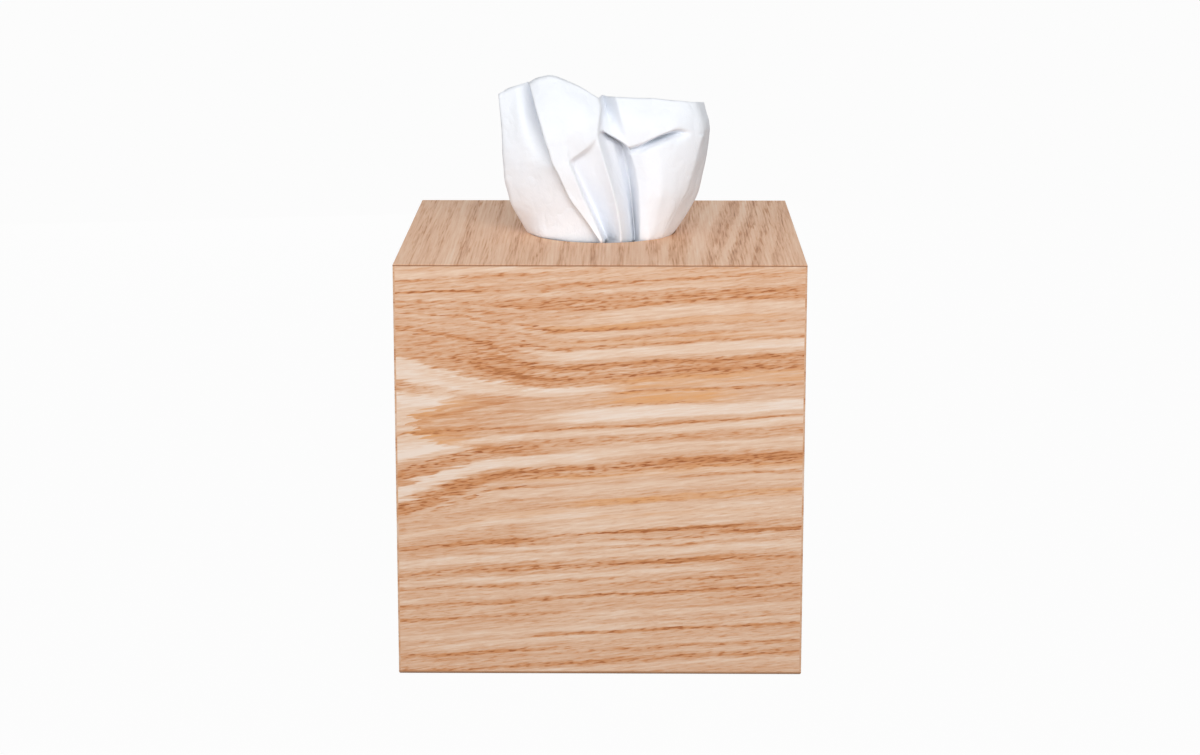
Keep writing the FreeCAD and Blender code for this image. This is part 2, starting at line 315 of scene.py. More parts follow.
@dataclass(frozen=True)
class Streak:
    """A layer of growth that stands out, in millimetres.

    Attributes:
        tint: How it differs from the wood around it.
        first: Distance across the grain from the heart line where it starts, negative before that line.
        last: Distance where it ends.
        edge: How soft its two edges are.
        depth: How strong it is, up to one.
        run: Where along the grain it starts and ends, or nothing where it runs right through.
    """

    tint: Tint
    first: float
    last: float
    edge: float
    depth: float
    run: tuple[float, float] | None = None


def layers(tint: Tint, *rows: tuple[Any, ...]) -> tuple[Streak, ...]:
    """Streaks of one tint, each from the rest of its values in order."""
    return tuple(Streak(tint, *row) for row in rows)


@dataclass(frozen=True)
class Opening:
    """How the layers on one side of the heart line open out towards the start of the grain.

    Attributes:
        amount: How much wider than elsewhere they are at the very start.
        length: Where along the grain they are back to their usual width, in millimetres.
        near: Distance from the heart line up to which they all open, in millimetres.
        far: Distance from which they keep their width, in millimetres.
    """

    amount: float
    length: float
    near: float
    far: float


@dataclass(frozen=True)
class Cells:
    """The long cells of one noise in the wood, in millimetres.

    Attributes:
        length: Their size along the grain.
        width: Their size across it.
        shift: Keeps the noise apart from the others.
        detail: How many finer layers the noise has.
        roughness: How strong those layers are.
    """

    length: float
    width: float
    shift: float
    detail: float = 1.0
    roughness: float = 0.5


BROAD = Cells(80.0, 6.0, 0.0, 2.0)
STREAKY = Cells(45.0, 1.7, 1.0, 3.0, 0.6)
FIBRE = Cells(11.0, 0.7, 2.0, 2.0, 0.6)
DASH = Cells(3.6, 0.55, 3.0)
WANDER = Cells(40.0, 16.0, 5.0)
RIPPLE = Cells(8.0, 4.0, 6.0)
FRAY = Cells(5.0, 0.8, 7.0, 2.0, 0.6)
UNEVEN = Cells(9.0, 0.8, 8.0)


@dataclass(frozen=True)
class Figure:
    """How the growth layers run over one face, in millimetres.

    Attributes:
        heart: The heart line's distance across the face, at the start of the grain.
        slope: How much it comes back per millimetre along the grain.
        before: How layers before the heart line open out.
        after: How layers after it do.
        streaks: The layers that stand out.
        tongue: Length of the pointed inner layer at the start of the grain, or zero.
        slant: How much the short fibres come back across the face per millimetre along it.
        dash: Cells of the short dark dashes of the pores.
        fibre: Cells of the fine fibres.
        porosity: How much the pores darken the wood, up to one.
        seed: Shifts the noise.
    """

    heart: float
    slope: float
    before: Opening
    after: Opening
    streaks: tuple[Streak, ...]
    tongue: float
    seed: float
    slant: float = 0.12
    dash: Cells = DASH
    fibre: Cells = FIBRE
    porosity: float = 0.17


FRONT_FIGURE = Figure(
    heart=53.0,
    slope=0.06,
    before=Opening(1.32, 55.0, 20.0, 46.0),
    after=Opening(0.65, 36.0, 24.0, 44.0),
    streaks=layers(
        Tint.BROWN,
        (-47.6, -47.4, 0.8, 0.16, (-30, 52)), (-43.0, -42.6, 0.7, 0.16, (45, 170)),
        (-42.6, -42.0, 0.9, 0.3, (-30, 30)), (-38.2, -35.6, 0.9, 0.17, (34, 170)),
        (-35.4, -35.0, 0.5, 0.12, (50, 170)), (-36.2, -35.2, 0.9, 0.1, (-30, 40)),
        (-32.4, -31.8, 0.8, 0.12, (-30, 50)), (-28.0, -27.6, 0.7, 0.14, (70, 170)),
        (-28.4, -27.8, 0.6, 0.22, (-30, 70)), (-24.8, -24.2, 0.7, 0.12, (-30, 110)),
        (-22.4, -21.8, 0.5, 0.17, (34, 170)), (-19.2, -18.2, 0.6, 0.22, (-30, 40)),
        (-16.8, -11.6, 1.0, 0.16, (30, 170)), (-13.6, -11.6, 5.0, 0.13, (2, 44)),
        (-16.4, -16.0, 0.5, 0.1, (36, 170)), (-13.0, -12.5, 0.5, 0.16, (10, 170)),
        (-10.6, -9.9, 0.7, 0.16, (42, 80)), (-7.1, -6.7, 0.5, 0.26, (66, 170)),
        (-6.6, -5.4, 0.9, 0.2, (-30, 18)), (-3.0, -2.5, 0.6, 0.2, (66, 100)),
        (1.7, 2.1, 0.6, 0.22, (-30, 34)), (3.8, 4.1, 0.4, 0.2, (40, 170)),
        (7.8, 9.4, 1.2, 0.14, (40, 170)), (9.0, 9.8, 0.8, 0.28, (-30, 38)),
        (10.0, 12.0, 1.2, 0.1, (-30, 50)), (16.4, 19.6, 1.0, 0.2),
        (17.0, 17.5, 0.6, 0.16), (21.8, 22.2, 0.5, 0.16, (94, 170)),
        (22.4, 22.8, 0.4, 0.3, (13, 46)), (28.6, 29.6, 0.9, 0.1, (64, 170)),
        (38.8, 39.3, 0.5, 0.5, (56, 112)), (40.8, 41.4, 0.5, 0.36, (106, 170)),
        (41.6, 42.0, 0.5, 0.12, (44, 110)), (40.2, 41.0, 0.8, 0.22, (-30, 50)),
        (44.0, 44.4, 0.5, 0.07, (60, 110)), (49.5, 50.5, 0.6, 0.26, (-30, 112)),
        (50.4, 51.0, 0.6, 0.14, (104, 170)), (55.0, 55.5, 0.6, 0.18, (-30, 70)),
        (56.7, 57.2, 0.5, 0.14, (70, 122)), (60.3, 60.9, 0.5, 0.26, (48, 170)),
        (60.8, 61.4, 0.7, 0.16, (-30, 50)), (63.3, 63.8, 0.5, 0.16, (108, 170)),
        (65.2, 65.7, 0.6, 0.17, (-30, 50)), (73.0, 73.5, 0.5, 0.28, (46, 170)),
        (77.4, 77.9, 0.6, 0.2, (-30, 54)), (79.1, 79.6, 0.6, 0.18, (56, 170)),
        (82.6, 83.2, 0.7, 0.22),
    )
    + layers(
        Tint.PALE,
        (-49.8, -49.0, 0.8, 0.14, (-30, 40)), (-45.6, -45.0, 0.8, 0.12, (-30, 34)),
        (-40.6, -40.0, 0.8, 0.12, (40, 110)), (-33.2, -30.8, 1.0, 0.13, (66, 170)),
        (-26.8, -26.2, 0.8, 0.1, (46, 80)), (-24.4, -24.0, 0.7, 0.1, (90, 170)),
        (-20.8, -18.9, 0.9, 0.26, (44, 170)), (-9.4, -7.4, 1.2, 0.32, (-30, 68)),
        (-4.8, -4.0, 0.9, 0.22, (-30, 20)), (-1.2, 1.2, 1.4, 0.34, (52, 170)),
        (5.2, 6.4, 0.9, 0.2, (30, 150)), (5.6, 6.8, 1.0, 0.26, (-30, 32)),
        (11.4, 13.4, 1.0, 0.18, (60, 170)), (12.8, 14.8, 1.0, 0.3, (-30, 66)),
        (20.0, 20.8, 0.8, 0.1, (56, 170)), (23.6, 26.0, 1.2, 0.12, (30, 170)),
        (31.6, 33.4, 1.2, 0.16, (-30, 64)), (31.4, 37.4, 1.4, 0.13, (50, 170)),
        (42.8, 43.4, 0.6, 0.16, (30, 170)), (45.4, 47.2, 0.8, 0.19),
        (52.8, 53.8, 0.8, 0.18, (-30, 110)), (58.8, 59.6, 0.7, 0.1, (-30, 60)),
        (66.6, 67.8, 0.9, 0.15, (50, 170)), (70.8, 72.0, 0.8, 0.13),
        (74.4, 75.6, 0.9, 0.15, (10, 80)), (77.4, 78.2, 0.7, 0.1, (76, 170)),
        (84.8, 86.0, 0.8, 0.14),
    )
    + layers(
        Tint.HONEY,
        (-29.6, -28.6, 0.9, 0.45, (46, 120)), (-24.0, -23.0, 1.2, 0.25, (50, 130)),
        (-11.0, -8.6, 1.2, 0.6, (70, 170)), (-6.4, -3.0, 1.0, 0.95, (70, 106)),
        (19.2, 20.6, 1.0, 0.35, (40, 170)), (28.2, 29.8, 0.8, 0.65, (58, 170)),
        (31.0, 32.0, 0.9, 0.35, (2, 56)), (33.8, 34.6, 0.8, 0.25, (60, 120)),
    ),
    tongue=34.0,
    seed=3.0,
)
SIDE_FIGURE = Figure(
    heart=84.0,
    slope=-0.03,
    before=Opening(0.5, 60.0, 20.0, 44.0),
    after=Opening(0.8, 50.0, 20.0, 40.0),
    streaks=layers(
        Tint.BROWN,
        (-76.6, -75.8, 0.8, 0.2), (-69.2, -68.6, 0.7, 0.16, (-30, 110)),
        (-64.0, -63.6, 0.6, 0.1, (30, 170)), (-59.6, -56.8, 1.2, 0.22),
        (-52.5, -52.0, 0.6, 0.12, (-30, 70)), (-48.4, -47.6, 0.6, 0.26, (30, 170)),
        (-40.8, -40.2, 0.6, 0.18, (-30, 80)), (-30.6, -27.2, 1.2, 0.24),
        (-28.4, -27.8, 0.6, 0.14, (20, 170)), (-23.0, -22.6, 0.5, 0.14, (60, 170)),
        (-18.4, -17.6, 0.7, 0.28), (-7.2, -4.8, 1.1, 0.24),
        (-6.6, -6.2, 0.5, 0.16, (-30, 120)), (5.2, 6.2, 0.7, 0.26),
        (10.4, 10.8, 0.5, 0.14, (40, 170)), (15.4, 18.0, 1.0, 0.24),
        (27.2, 27.8, 0.6, 0.24, (50, 170)), (33.0, 33.4, 0.5, 0.12, (-30, 70)),
        (37.4, 39.0, 0.9, 0.26), (45.4, 46.2, 0.7, 0.2, (-30, 90)),
    )
    + layers(
        Tint.PALE,
        (-72.6, -71.4, 1.0, 0.14), (-54.8, -54.0, 0.8, 0.14),
        (-38.4, -33.4, 1.6, 0.26, (20, 170)), (-25.6, -24.6, 0.8, 0.16, (-30, 110)),
        (-14.6, -13.6, 0.9, 0.16, (-30, 60)), (-1.6, 2.2, 1.6, 0.3),
        (12.4, 13.4, 0.9, 0.18), (24.2, 25.4, 0.9, 0.16, (-30, 110)),
        (30.0, 31.4, 0.9, 0.16, (20, 170)), (42.0, 43.0, 0.9, 0.14),
    )
    + layers(
        Tint.HONEY,
        (-45.0, -43.2, 1.0, 0.6, (-30, 100)), (-12.8, -10.2, 1.2, 0.7, (40, 140)),
        (21.0, 22.8, 1.0, 0.6, (20, 120)),
    ),
    tongue=0.0,
    seed=11.0,
)
TOP_FIGURE = Figure(
    heart=78.0,
    slope=0.0,
    before=Opening(0.0, 60.0, 20.0, 40.0),
    after=Opening(0.85, 170.0, 24.0, 66.0),
    streaks=layers(
        Tint.BROWN,
        (-74.0, -72.6, 1.2, 0.10), (-66.0, -65.0, 1.0, 0.08),
        (-57.6, -56.0, 1.2, 0.12), (-49.0, -48.0, 1.0, 0.08),
        (-41.4, -40.0, 1.2, 0.12), (-33.0, -32.0, 1.0, 0.09),
        (-24.6, -23.0, 1.2, 0.12), (-15.0, -13.6, 1.2, 0.12),
        (-6.0, -4.8, 1.2, 0.12), (3.4, 5.0, 1.2, 0.14),
        (10.0, 13.0, 2.4, 0.13), (20.4, 22.4, 2.6, 0.15),
        (28.0, 29.8, 2.4, 0.16), (35.2, 36.6, 2.2, 0.13),
        (42.0, 43.6, 1.2, 0.14),
    )
    + layers(
        Tint.PALE,
        (-61.6, -60.2, 1.2, 0.10), (-28.4, -27.0, 1.2, 0.10),
        (7.0, 8.2, 1.2, 0.12), (15.0, 17.4, 1.4, 0.14),
        (24.6, 25.6, 1.0, 0.12),
    ),
    tongue=0.0,
    seed=23.0,
    slant=0.0,
    dash=replace(DASH, length=16.0),
    fibre=replace(FIBRE, length=46.0),
    porosity=0.10,
)


WALL_FIGURES = {
    Face.FRONT: FRONT_FIGURE,
    Face.BACK: replace(SIDE_FIGURE, heart=62.0, slope=0.05, seed=31.0),
    Face.LEFT: SIDE_FIGURE,
    Face.RIGHT: replace(SIDE_FIGURE, heart=70.0, slope=-0.04, seed=17.0),
}


@dataclass(frozen=True)
class FaceVeneer:
    """Satin-lacquered, ring-porous veneer with a figure of its own on each face.

    Attributes:
        face: The face of the cover that it lies on.
        figure: The run of its growth layers.
        pale: Colour of the palest layers.
        cream: Colour between the layers.
        tan: Common colour.
        brown: Colour of the dark layers.
        dark: Colour of the finest lines and the pores.
        yellow: Colour of the honey layers.
        edge: Colour of the leaf's cut edges.
        edge_share: How far the edges take that colour, up to one.
        roughness: How matt the lacquer is.
        gloss: How strongly the lacquer reflects.
        tones: Where the colours from pale to dark lie on the scale of tones.
        ragged: How far the streaks' ends are drawn out along the grain, in millimetres.
        fade: How far before and after its ends a streak fades, in millimetres.
        steepness: How fast the layers open out towards the start of the grain.
        tongue_tip: Where the pointed inner layer starts, in millimetres.
        tongue_reach: How far from its tip it has its given height, in millimetres.
        tongue_height: Half that height, in millimetres.
        relief: Depth of the pores, in metres.
    """

    face: Face
    figure: Figure
    pale: Colour = shade(240, 221, 206)
    cream: Colour = shade(232, 201, 176)
    tan: Colour = shade(220, 177, 145)
    brown: Colour = shade(205, 142, 96)
    dark: Colour = shade(164, 96, 54)
    yellow: Colour = shade(226, 166, 110)
    edge: Colour = shade(206, 160, 126)
    edge_share: float = 0.5
    roughness: float = 0.42
    gloss: float = 0.3
    tones: tuple[float, ...] = (0.0, 0.24, 0.46, 0.70, 1.0)
    ragged: float = 20.0
    fade: float = 12.0
    steepness: float = 1.7
    tongue_tip: float = 4.6
    tongue_reach: float = 20.0
    tongue_height: float = 9.4
    relief: float = 0.00006

    def build(self) -> bpy.types.Material:
        """Makes the material.

        Returns:
            The veneer's material.
        """
        graph = Graph.of_material(f"veneer_{self.face.name.lower()}")
        figure = self.figure
        along, across = self._directions(graph)
        grain = across + along * figure.slant
        drawn = along + self._noise(graph, along, grain, UNEVEN) * self.ragged
        distance = across - figure.heart + along * figure.slope
        layer = self._layer(graph, drawn, across, distance)
        parts = {
            "broad": self._noise(graph, along, layer, BROAD),
            "streak": self._noise(graph, along, layer, STREAKY),
            "fine": self._noise(graph, along, grain, figure.fibre),
        }
        dash = self._noise(graph, along, grain, figure.dash)
        for tint in Tint:
            parts[tint.value] = self._marks(drawn, layer, tint)
        parts["dashes"] = dash.rise(-0.05, 0.16)
        parts["brown"] *= weighted(parts, 0.66, streak=1.5, dashes=0.60)
        parts.update(self._tongue(graph, drawn, across, distance))
        parts["pale"] += parts["halo"] * 0.20
        parts["outer"] = abs(layer).rise(20.0, 36.0)
        porous = weighted(parts, 0.40, outer=0.35, brown=2.6, pale=-1.8, broad=1.6)
        parts["pores"] = dash.rise(0.04, 0.17) * porous.at_least(0.0).at_most(1.0)
        parts["gaps"] = dash.rise(-0.25, -0.08, 1.0, 0.0)
        tone = weighted(parts, 0.43, brown=1.22, pale=-1.0, rim=0.16, inside=1.2)
        tone += weighted(parts, 0.0, broad=0.25, streak=0.45, fine=0.60, pores=figure.porosity, gaps=-0.10)
        golden = weighted(parts, 0.0, honey=1.0, rim=0.9, brown=0.6)
        golden *= weighted(parts, 0.7, streak=2.0, fine=1.2, pores=-0.6)
        stops = list(zip(self.tones, (self.pale, self.cream, self.tan, self.brown, self.dark)))
        colour = graph.blend(graph.ramp(tone, stops), self.yellow, golden)
        surface = {
            "Base Color": graph.blend(colour, self.edge, self._edge(graph) * self.edge_share),
            "Roughness": weighted(parts, self.roughness, fine=0.12, pores=0.15),
            "Specular IOR Level": self.gloss,
        }
        return graph.finish(surface, weighted(parts, 0.5, fine=0.5, pores=-0.5), self.relief)

    def _noise(self, graph: Graph, along: Value, across: Value, cells: Cells) -> Value:
        """Noise in long cells that follow the grain."""
        where = graph.vector(along / cells.length, across / cells.width, self.figure.seed + cells.shift)
        return graph.noise(where, cells.detail, cells.roughness)

    def _edge(self, graph: Graph) -> Value:
        """Tells the leaf's cut edges from its face.

        Args:
            graph: The material's tree.

        Returns:
            One on the edges and zero on the face.
        """
        axes = {axis for axis, sign in self.face.value}
        facing = ({0, 1, 2} - axes).pop()
        normal = graph.split(graph.value("ShaderNodeNewGeometry", output="Normal"))
        return 1.0 - abs(normal[facing]).rise(0.3, 0.6)

    def _directions(self, graph: Graph) -> tuple[Value, Value]:
        """Finds the surface point on the face.

        Args:
            graph: The material's tree.

        Returns:
            Its distances along and across the grain from the face's first corner, in millimetres.
        """
        low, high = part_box("top_veneer")
        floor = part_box("front_lipping")[0]
        place = graph.place()
        result = []
        for axis, sign in self.face.value:
            bottom = (floor if axis == 2 else low)[axis] / MM
            result.append(place[axis] - bottom if sign > 0 else high[axis] / MM - place[axis])
        return result[0], result[1]

    def _layer(self, graph: Graph, along: Value, across: Value, distance: Value) -> Value:
        """The growth layer that a point lies in, as a distance from the heart line where layers are even.

        Args:
            graph: The material's tree.
            along: Distance along the grain.
            across: Distance across the face.
            distance: Distance across the face from the heart line.

        Returns:
            The layer, in millimetres.
        """
        sides = []
        for side in (self.figure.before, self.figure.after):
            start = (1.0 - along / side.length).at_least(0.0).power(self.steepness)
            sides.append(side.amount * start * (1.0 - abs(distance).rise(side.near, side.far)))
        opening = sides[0] + distance.over(0.0) * (sides[1] - sides[0])
        parts = {
            "wander": self._noise(graph, along, across, WANDER),
            "ripple": self._noise(graph, along, across, RIPPLE),
            "fray": self._noise(graph, along, across, FRAY),
        }
        return distance / (1.0 + opening) + weighted(parts, 0.0, wander=2.6, ripple=0.8, fray=1.1)

    def _marks(self, along: Value, layer: Value, tint: Tint) -> Value:
        """How strong the streaks of one tint are.

        Args:
            along: Distance along the grain.
            layer: The growth layer.
            tint: Which streaks to add up.

        Returns:
            Their strength, zero where there is none.
        """
        total = along * 0.0
        for streak in self.figure.streaks:
            if streak.tint is not tint:
                continue
            shape = layer.rise(streak.first - streak.edge, streak.first, 0.0, streak.depth)
            shape = shape * layer.rise(streak.last, streak.last + streak.edge, 1.0, 0.0)
            if streak.run:
                start, end = streak.run
                shape = shape * along.rise(start - self.fade, start + self.fade)
                shape = shape * along.rise(end - self.fade, end + self.fade, 1.0, 0.0)
            total = total + shape
        return total

    def _tongue(self, graph: Graph, along: Value, across: Value, distance: Value) -> dict[str, Value]:
        """The pointed inner layer at the start of the grain.

        Args:
            graph: The material's tree.
            along: Distance along the grain.
            across: Distance across the face.
            distance: Distance across the face from the heart line.

        Returns:
            How strong its rim is, how dark the lines inside it are, and how pale the halo round it is.
        """
        length = self.figure.tongue
        if not length:
            return {name: along * 0.0 for name in ("rim", "inside", "halo")}
        spread = ((along - self.tongue_tip) / self.tongue_reach).at_least(0.0001).power(0.5)
        share = distance / (spread * self.tongue_height)
        wavy = graph.noise(graph.vector(along / 7, across / 1.1, 40.0), 1.0)
        within = (abs(share) + wavy * 0.36).rise(0.84, 1.10, 1.0, 0.0)
        lines = graph.noise(graph.vector(along / 24, share * 5.0, 44.0), 3.0, 0.6) + 0.06
        near = abs(distance).rise(9.0, 14.0, 1.0, 0.0)
        rim = within * (0.35 + 0.65 * abs(share).rise(0.2, 0.9))
        return {
            "rim": rim * along.rise(length * 0.2, length, 1.0, 0.0),
            "inside": within * lines * along.rise(length * 0.7, length * 1.7, 1.0, 0.0),
            "halo": near * along.rise(length * 0.3, length * 0.9, 1.0, 0.0) * (1.0 - within),
        }


@dataclass(frozen=True)
class PlainWood:
    """Straight-grained wood or board without a marked figure.

    Attributes:
        name: The material's name.
        light: Colour of the pale grain.
        deep: Colour of the dark grain.
        grain: Millimetres to a cell of grain on X, Y and Z.
        roughness: How matt the surface is.
        fineness: How many times smaller the cells of the fine grain are.
        relief: Depth of the fine grain, in metres.
    """

    name: str
    light: Colour
    deep: Colour
    grain: tuple[float, float, float]
    roughness: float
    fineness: float = 4.0
    relief: float = 0.00004

    def build(self) -> bpy.types.Material:
        """Makes the material.

        Returns:
            The wood's material.
        """
        graph = Graph.of_material(self.name)
        finer = graph.cells(*(size / self.fineness for size in self.grain))
        parts = {"broad": graph.noise(graph.cells(*self.grain), 4.0, 0.6), "fine": graph.noise(finer)}
        colour = graph.blend(self.light, self.deep, weighted(parts, 0.5, broad=1.3, fine=0.6))
        surface = {"Base Color": colour, "Roughness": weighted(parts, self.roughness, fine=0.15)}
        return graph.finish(surface, weighted(parts, 0.5, fine=1.0), self.relief)


@dataclass(frozen=True)
class PinSteel:
    """Drawn steel of the panel pins.

    Attributes:
        bright: Colour of the clean steel.
        dull: Colour of the drawing marks.
        roughness: How matt the steel is.
    """

    bright: Colour = shade(176, 176, 178)
    dull: Colour = shade(120, 118, 116)
    roughness: float = 0.38

    def build(self) -> bpy.types.Material:
        """Makes the material.

        Returns:
            The steel's material.
        """
        graph = Graph.of_material("pin_steel")
        mark = graph.noise(graph.cells(0.4, 0.4, 0.4), 3.0)
        colour = graph.blend(self.bright, self.dull, 0.4 + mark)
        return graph.finish({"Base Color": colour, "Metallic": 1.0, "Roughness": self.roughness + mark * 0.3})


@dataclass(frozen=True)
class CartonBoard:
    """White-coated paperboard, with faint mottling and fibres.

    Attributes:
        face: Colour of the coating.
        shadow: Colour of the mottling.
        roughness: How matt the coating is.
        relief: Depth of the fibres, in metres.
    """

    face: Colour = shade(238, 237, 233)
    shadow: Colour = shade(222, 220, 214)
    roughness: float = 0.5
    relief: float = 0.00003

    def build(self) -> bpy.types.Material:
        """Makes the material.

        Returns:
            The board's material.
        """
        graph = Graph.of_material("carton_board")
        parts = {
            "mottle": graph.noise(graph.cells(6.0, 6.0, 6.0), 4.0, 0.6),
            "fibre": graph.noise(graph.cells(0.5, 0.5, 1.6)),
        }
        colour = graph.blend(self.face, self.shadow, weighted(parts, 0.4, mottle=0.9, fibre=0.5))
        surface = {"Base Color": colour, "Roughness": weighted(parts, self.roughness, mottle=0.2)}
        return graph.finish(surface, weighted(parts, 0.5, fibre=1.0), self.relief)


@dataclass(frozen=True)
class ClearFilm:
    """Thin clear plastic film.

    Attributes:
        tint: Colour of the film.
        shadow: Colour in its ripples.
        opacity: How much it hides, up to one.
        roughness: How matt it is where it lies flat.
        relief: Depth of the ripples, in metres.
    """

    tint: Colour = shade(236, 240, 243)
    shadow: Colour = shade(214, 221, 226)
    opacity: float = 0.32
    roughness: float = 0.14
    relief: float = 0.0004

    def build(self) -> bpy.types.Material:
        """Makes the material.

        Returns:
            The film's material.
        """
        graph = Graph.of_material("clear_film")
        ripple = graph.noise(graph.cells(14.0, 9.0, 1.0))
        surface = {
            "Base Color": graph.blend(self.tint, self.shadow, 0.4 + ripple),
            "Roughness": self.roughness + abs(ripple) * 0.2,
            "Alpha": self.opacity + ripple * 0.1,
        }
        return graph.finish(surface, 0.5 + ripple, self.relief)


@dataclass(frozen=True)
class TissuePaper:
    """Soft two-ply tissue: white, matt, faintly creped and wrinkled.

    Attributes:
        name: The material's name.
        white: Colour of the paper.
        hollow: Colour where it is thinner.
        roughness: How matt the paper is.
        gloss: How strongly it reflects.
        relief: Depth of the creping and the wrinkles, in metres.
    """

    name: str = "tissue_paper"
    white: Colour = shade(246, 249, 254)
    hollow: Colour = shade(240, 244, 251)
    roughness: float = 0.85
    gloss: float = 0.2
    relief: float = 0.0003

    def build(self) -> bpy.types.Material:
        """Makes the material.

        Returns:
            The tissue's material.
        """
        graph = Graph.of_material(self.name)
        parts = {
            "crepe": graph.noise(graph.cells(0.45, 0.45, 0.9)),
            "cloud": graph.noise(graph.cells(5.0, 5.0, 5.0), 3.0),
            "wrinkle": abs(graph.noise(graph.cells(7.0, 7.0, 9.0), 2.0, 0.45)).at_most(0.12),
        }
        surface = {
            "Base Color": graph.blend(self.white, self.hollow, weighted(parts, 0.4, cloud=0.9, crepe=0.4)),
            "Roughness": weighted(parts, self.roughness, crepe=0.1),
            "Specular IOR Level": self.gloss,
        }
        return graph.finish(surface, weighted(parts, 0.5, crepe=0.25, wrinkle=3.0), self.relief)


def new_piece(name: str, mesh: bmesh.types.BMesh, finish: bpy.types.Material) -> bpy.types.Object:
    """Makes an object at the origin from a bmesh.

    Args:
        name: The piece's name.
        mesh: Its shape, which is freed.
        finish: Its material.

    Returns:
        The linked object.
    """
    data = bpy.data.meshes.new(name)
    mesh.to_mesh(data)
    mesh.free()
    data.materials.append(finish)
    piece = bpy.data.objects.new(name, data)
    bpy.context.scene.collection.objects.link(piece)
    return piece


def dress(node: str, finish: bpy.types.Material) -> None:
    """Gives a node of the frame a finish.

    Args:
        node: The node's name.
        finish: Its material.
    """
    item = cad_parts[node]
    item.data.materials.clear()
    item.data.materials.append(finish)
    log.info("dressed %s with %s", node, finish.name)


@dataclass
class Cover:
    """The veneered box: every node keeps its shape and gets its finish.

    Attributes:
        top: The leaf on the top, with a dark front edge; its greyer colours are painted shade and sheen of
            the top.
        core: Board of the cores.
        backing: Plain veneer of the linings.
        lipping: Wood of the lippings and of the band in the opening.
    """

    top: FaceVeneer = FaceVeneer(
        Face.TOP,
        TOP_FIGURE,
        # Greyer, duller copies of the wall colours: painted shade and sheen for the top's weaker light and
        # lacquer reflection.
        pale=shade(236, 214, 196),
        cream=shade(233, 197, 168),
        tan=shade(224, 180, 147),
        brown=shade(198, 147, 112),
        dark=shade(156, 112, 84),
        yellow=shade(218, 173, 132),
        # The darker cut edges are partly the end grain's own colour and partly painted shadow of the joint
        # with the front.
        edge=shade(150, 106, 80),
        edge_share=0.8,
        gloss=0.05,
    )
    core: PlainWood = PlainWood(
        "core_board", shade(190, 160, 124), shade(165, 134, 100), grain=(0.9, 0.9, 0.9), roughness=0.8
    )
    backing: PlainWood = PlainWood(
        "backing_veneer", shade(206, 172, 138), shade(176, 138, 104), grain=(26.0, 26.0, 1.4), roughness=0.6
    )
    lipping: PlainWood = PlainWood(
        "lipping_wood", shade(204, 160, 126), shade(168, 118, 84), grain=(18.0, 18.0, 0.8), roughness=0.42
    )

    def dress(self) -> None:
        """Dresses all the nodes of the cover."""
        sides = [face.name.lower() for face in WALL_FIGURES]
        for side, (face, figure) in zip(sides, WALL_FIGURES.items()):
            dress(f"{side}_veneer", FaceVeneer(face, figure).build())
        dress("top_veneer", self.top.build())
        core, backing, lipping = self.core.build(), self.backing.build(), self.lipping.build()
        steel = PinSteel().build()
        for side in (*sides, "top"):
            dress(f"{side}_core", core)
            dress(f"{side}_lining", backing)
        for node in (*(f"{side}_lipping" for side in sides), "opening_band"):
            dress(node, lipping)
        for node in ("corner_pins", "top_pins"):
            dress(node, steel)


@dataclass(frozen=True)
class FoldLine:
    """A line of the tissue from the rim of the opening up to the hem.

    Places are in millimetres, to the right, back and up from the middle of the opening.

    Attributes:
        name: What the line is.
        crease: How sharp the fold is below and above the cross fold, up to one.
        rim: Where it leaves the opening.
        flank: Where it stands half way up to the cross fold.
        fold: Where the cross fold meets it.
        shoulder: Where it stands half way from there to the hem.
        hem: Where it ends.
        tuck: How far the sheet is pushed back just under the cross fold, and in it.
    """

    name: str
    crease: tuple[float, float]
    rim: Place
    flank: Place
    fold: Place
    shoulder: Place
    hem: Place
    tuck: tuple[float, float] = (0.0, 0.0)

    def at(self, level: float) -> Vector:
        """A point of the smooth curve through the line's places.

        Args:
            level: Zero at the rim, one at the flank, and so on up to four at the hem.

        Returns:
            The point, in millimetres.
        """
        places = [Vector(place) for place in (self.rim, self.flank, self.fold, self.shoulder, self.hem)]
        start = min(int(level), len(places) - 2)
        share = level - start
        before = places[max(start - 1, 0)]
        first, last = places[start], places[start + 1]
        after = places[min(start + 2, len(places) - 1)]
        bend = (before * 2 - first * 5 + last * 4 - after) * share ** 2
        twist = (first * 3 - before - last * 3 + after) * share ** 3
        return (first * 2 + (last - before) * share + bend + twist) / 2


